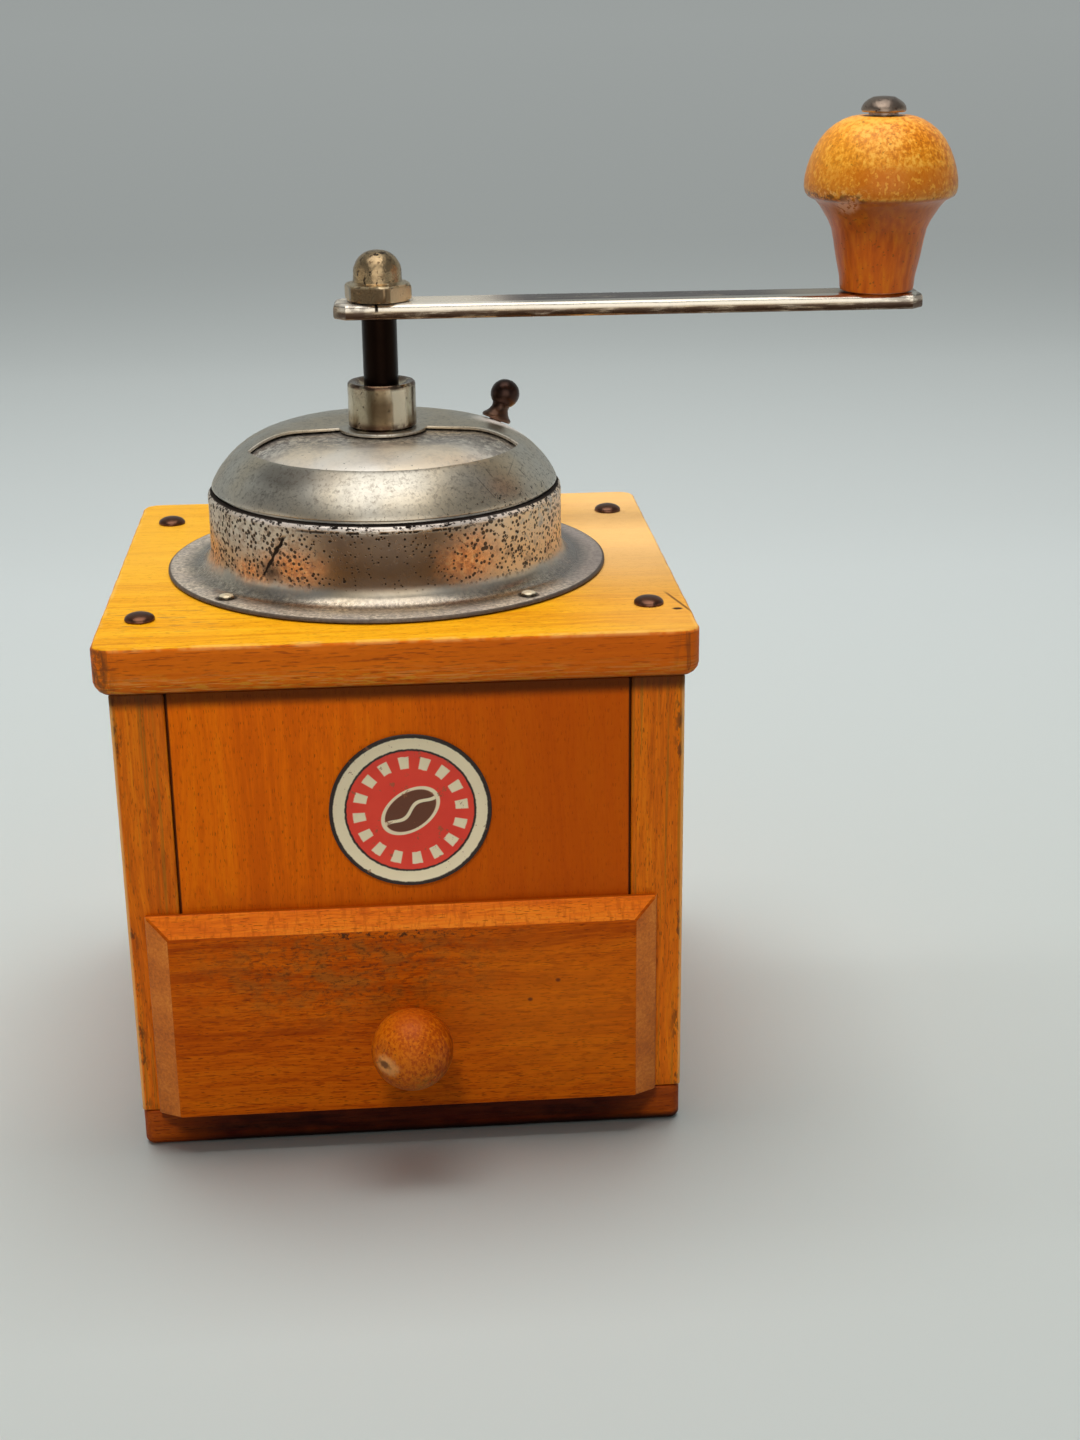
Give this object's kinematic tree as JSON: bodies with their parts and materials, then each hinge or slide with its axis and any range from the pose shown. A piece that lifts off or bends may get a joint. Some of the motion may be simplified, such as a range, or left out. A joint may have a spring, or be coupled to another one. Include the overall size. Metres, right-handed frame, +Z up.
{
  "type": "manual coffee grinder",
  "caption": "Wooden box mill with a metal dome hopper, a hand crank with a turned handle and a drawer for the ground coffee.",
  "frame": {"origin": "middle of the underside of the base board", "axes": "+Z up along the mill's axis, -Y out of the drawer's front, +X to the right of someone facing the drawer"},
  "size_m": [0.1983, 0.1476, 0.2283],
  "materials": {
    "box_wood": "varnished beech, honey orange",
    "top_wood": "varnished beech, bright honey",
    "turned_wood": "varnished turned beech",
    "raw_wood": "unvarnished beech",
    "hopper_nickel": "dull, pitted nickel plate",
    "dome_nickel": "worn nickel plate",
    "crank_nickel": "yellowed nickel plate",
    "dark_steel": "oxidised steel",
    "brown_metal": "tarnished, brown",
    "burr_iron": "cast",
    "badge_print": null
  },
  "bodies": {
    "box": {"base_board": "box_wood", "left_side_board": "box_wood", "right_side_board": "box_wood", "front_panel": "box_wood", "back_panel": "box_wood", "top_board": "top_wood", "front_badge": "badge_print", "top_screw_1": "brown_metal", "top_screw_2": "brown_metal", "top_screw_3": "brown_metal", "top_screw_4": "brown_metal", "base_screw_1": "dark_steel", "base_screw_2": "dark_steel", "base_screw_3": "dark_steel", "base_screw_4": "dark_steel", "hopper_housing": "hopper_nickel", "inner_dome": "dome_nickel", "bearing_sleeve": "crank_nickel", "sleeve_nut": "hopper_nickel", "flange_nail_1": "dome_nickel", "flange_nail_2": "dome_nickel", "flange_nail_3": "dome_nickel", "flange_nail_4": "dome_nickel", "mill_funnel": "burr_iron", "burr_ring": "burr_iron", "ring_screw_1": "dark_steel", "ring_screw_2": "dark_steel", "bearing_bridge": "burr_iron", "bridge_rivet_1": "dark_steel", "bridge_rivet_2": "dark_steel"},
    "lid": {"lid_dome": "dome_nickel", "lid_knob": "brown_metal"},
    "adjuster": {"adjusting_nut": "crank_nickel"},
    "thrust": {"thrust_pin": "dark_steel"},
    "crank": {"drive_shaft": "dark_steel", "burr_cone": "burr_iron", "cone_pin": "dark_steel", "crank_arm": "crank_nickel", "acorn_nut": "crank_nickel", "handle_pin": "brown_metal"},
    "handle": {"handle_knob": "turned_wood"},
    "drawer": {"drawer_front": "box_wood", "drawer_left_side": "raw_wood", "drawer_right_side": "raw_wood", "drawer_back": "raw_wood", "drawer_bottom": "raw_wood", "drawer_knob": "turned_wood"}
  },
  "joints": [
    {"name": "drawer_slide", "type": "slide", "parent": "box", "child": "drawer", "axis": [0, -1, 0], "range_m": [0, 0.088]},
    {"name": "lid_turn", "type": "hinge", "parent": "box", "child": "lid", "pos_m": [-0.0014, 0, 0.155], "axis": [0, 0, 1], "range_deg": [0, 180]},
    {"name": "adjust_turn", "type": "hinge", "parent": "box", "child": "adjuster", "pos_m": [-0.0014, 0, 0.07], "axis": [0, 0, 1], "range_deg": [0, 540]},
    {"name": "thrust_lift", "type": "slide", "parent": "box", "child": "thrust", "axis": [0, 0, 1], "range_m": [0, 0.0015]},
    {"name": "crank_spin", "type": "hinge", "parent": "thrust", "child": "crank", "pos_m": [-0.0014, 0, 0.18], "axis": [0, 0, 1], "continuous": true},
    {"name": "handle_spin", "type": "hinge", "parent": "crank", "child": "handle", "pos_m": [0.11508, -0.00224, 0.2], "axis": [0, 0, 1], "continuous": true}
  ],
  "couplings": [
    {"joint": "adjust_turn", "follows": "thrust_lift", "rad_per_m": 6283.2}
  ]
}
